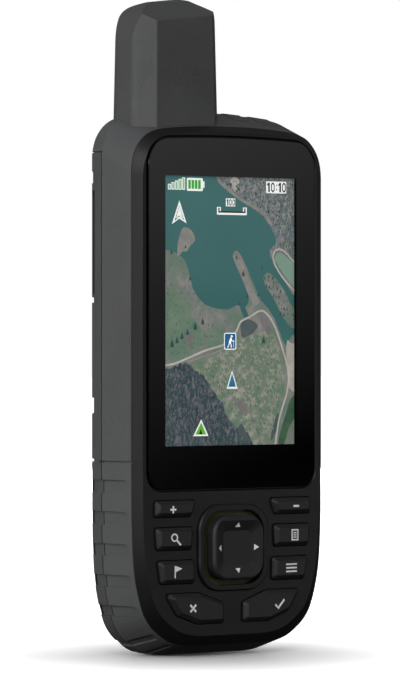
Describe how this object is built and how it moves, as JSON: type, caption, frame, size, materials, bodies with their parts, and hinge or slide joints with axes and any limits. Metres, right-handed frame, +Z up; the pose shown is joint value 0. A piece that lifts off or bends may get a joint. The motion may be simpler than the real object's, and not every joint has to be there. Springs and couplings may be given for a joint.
{
  "type": "handheld satellite navigator",
  "caption": "Upright handheld satellite navigator with an off-centre stub antenna, tall colour map display, bevelled keys round a four-way rocker and slotted side grips.",
  "frame": {"origin": "centre of the bounding box at its lowest plane, on which the case stands", "axes": "+Z up towards the antenna, +X to the right seen from the display side, +Y from the display towards the battery door"},
  "size_m": [0.062, 0.035, 0.163],
  "materials": {
    "dark_plastic": "fine matt texture",
    "grip_rubber": "soft matt",
    "grey_plastic": "fine matt texture",
    "black_plastic": "satin",
    "black_rubber": "matt",
    "mat_rubber": "matt",
    "key_rubber": "soft matt with pale signs",
    "olive_plastic": "matt",
    "white_plastic": "satin",
    "clear_plastic": "clear",
    "window_glass": "glossy with a dark printed border",
    "display_face": "lit map picture",
    "ceramic_former": "matt",
    "copper_wire": "bright copper",
    "steel": "satin",
    "tin_plate": "satin",
    "nickel": "bright",
    "gold_brass": "bright",
    "board_green": "varnished",
    "lamp": "clear over yellow",
    "cell_wrap": "printed sleeve"
  },
  "bodies": {
    "case": {"aerial_jack": "gold_brass", "antenna_core": "ceramic_former", "antenna_cover": "grey_plastic", "antenna_helix": "copper_wire", "backlight_tray": "white_plastic", "battery_left": "cell_wrap", "battery_right": "cell_wrap", "board_screws": "steel", "buzzer": "black_plastic", "cable_port": "tin_plate", "cap_pins": "steel", "card_holder": "tin_plate", "contact_plates": "nickel", "contact_springs": "nickel", "display_panel": "display_face", "display_window": "window_glass", "front_housing": "dark_plastic", "housing_gasket": "black_rubber", "housing_screws": "steel", "io_board": "board_green", "key_domes": "steel", "keypad_mat": "mat_rubber", "main_board": "board_green", "memory_card": "black_plastic", "mid_housing": "grip_rubber", "mounting_spine": "black_plastic", "power_switch": "black_plastic", "rear_housing": "grey_plastic", "rf_shield": "tin_plate", "rocker_base": "white_plastic", "rocker_ring": "olive_plastic", "torch_lamp": "lamp", "torch_lens": "clear_plastic", "window_gasket": "black_rubber"},
    "key_zoom_out": {"key_zoom_out": "key_rubber"},
    "key_zoom_in": {"key_zoom_in": "key_rubber"},
    "key_find": {"key_find": "key_rubber"},
    "key_page": {"key_page": "key_rubber"},
    "key_mark": {"key_mark": "key_rubber"},
    "key_menu": {"key_menu": "key_rubber"},
    "key_quit": {"key_quit": "key_rubber"},
    "key_enter": {"key_enter": "key_rubber"},
    "rocker_carrier": {"rocker_carrier": "white_plastic"},
    "rocker_cap": {"rocker_cap": "key_rubber"},
    "power_button": {"power_button": "key_rubber"},
    "port_cap": {"port_cap": "black_rubber"},
    "jack_cap": {"jack_cap": "black_rubber"},
    "battery_door": {"battery_door": "grey_plastic", "door_gasket": "mat_rubber"},
    "latch_knob": {"latch_knob": "black_plastic", "latch_pin": "steel"},
    "latch_ring": {"latch_ring": "steel"}
  },
  "joints": [
    {"name": "press_zoom_out", "type": "slide", "parent": "case", "child": "key_zoom_out", "axis": [0, 1, 0], "range_m": [0, 0.0006], "stiffness_N_per_m": 2000},
    {"name": "press_zoom_in", "type": "slide", "parent": "case", "child": "key_zoom_in", "axis": [0, 1, 0], "range_m": [0, 0.0006], "stiffness_N_per_m": 2000},
    {"name": "press_find", "type": "slide", "parent": "case", "child": "key_find", "axis": [0, 1, 0], "range_m": [0, 0.0006], "stiffness_N_per_m": 2000},
    {"name": "press_page", "type": "slide", "parent": "case", "child": "key_page", "axis": [0, 1, 0], "range_m": [0, 0.0006], "stiffness_N_per_m": 2000},
    {"name": "press_mark", "type": "slide", "parent": "case", "child": "key_mark", "axis": [0, 1, 0], "range_m": [0, 0.0006], "stiffness_N_per_m": 2000},
    {"name": "press_menu", "type": "slide", "parent": "case", "child": "key_menu", "axis": [0, 1, 0], "range_m": [0, 0.0006], "stiffness_N_per_m": 2000},
    {"name": "press_quit", "type": "slide", "parent": "case", "child": "key_quit", "axis": [0, 1, 0], "range_m": [0, 0.0006], "stiffness_N_per_m": 2000},
    {"name": "press_enter", "type": "slide", "parent": "case", "child": "key_enter", "axis": [0, 1, 0], "range_m": [0, 0.0006], "stiffness_N_per_m": 2000},
    {"name": "rocker_tilt_up_down", "type": "hinge", "parent": "case", "child": "rocker_carrier", "pos_m": [0, -0.0113, 0.0269], "axis": [1, 0, 0], "range_deg": [-3.5, 3.5], "stiffness_Nm_per_rad": 0.4},
    {"name": "rocker_tilt_left_right", "type": "hinge", "parent": "rocker_carrier", "child": "rocker_cap", "pos_m": [0, -0.0113, 0.0269], "axis": [0, 0, 1], "range_deg": [-3.5, 3.5], "stiffness_Nm_per_rad": 0.4},
    {"name": "press_power", "type": "slide", "parent": "case", "child": "power_button", "axis": [-1, 0, 0], "range_m": [0, 0.0004], "stiffness_N_per_m": 2500},
    {"name": "port_cap_hinge", "type": "hinge", "parent": "case", "child": "port_cap", "pos_m": [0.0125, 0.0131, 0.1126], "axis": [1, 0, 0], "range_deg": [0, 100]},
    {"name": "jack_cap_hinge", "type": "hinge", "parent": "case", "child": "jack_cap", "pos_m": [-0.0125, 0.0131, 0.1126], "axis": [1, 0, 0], "range_deg": [0, 100]},
    {"name": "battery_door_lift", "type": "slide", "parent": "case", "child": "battery_door", "axis": [0, 1, 0], "range_m": [0, 0.03]},
    {"name": "latch_turn", "type": "hinge", "parent": "battery_door", "child": "latch_knob", "pos_m": [0, 0.0154, 0.0205], "axis": [0, 1, 0], "range_deg": [0, 90]},
    {"name": "latch_ring_fold", "type": "hinge", "parent": "latch_knob", "child": "latch_ring", "pos_m": [0, 0.01675, 0.0205], "axis": [1, 0, 0], "range_deg": [-90, 0]}
  ]
}
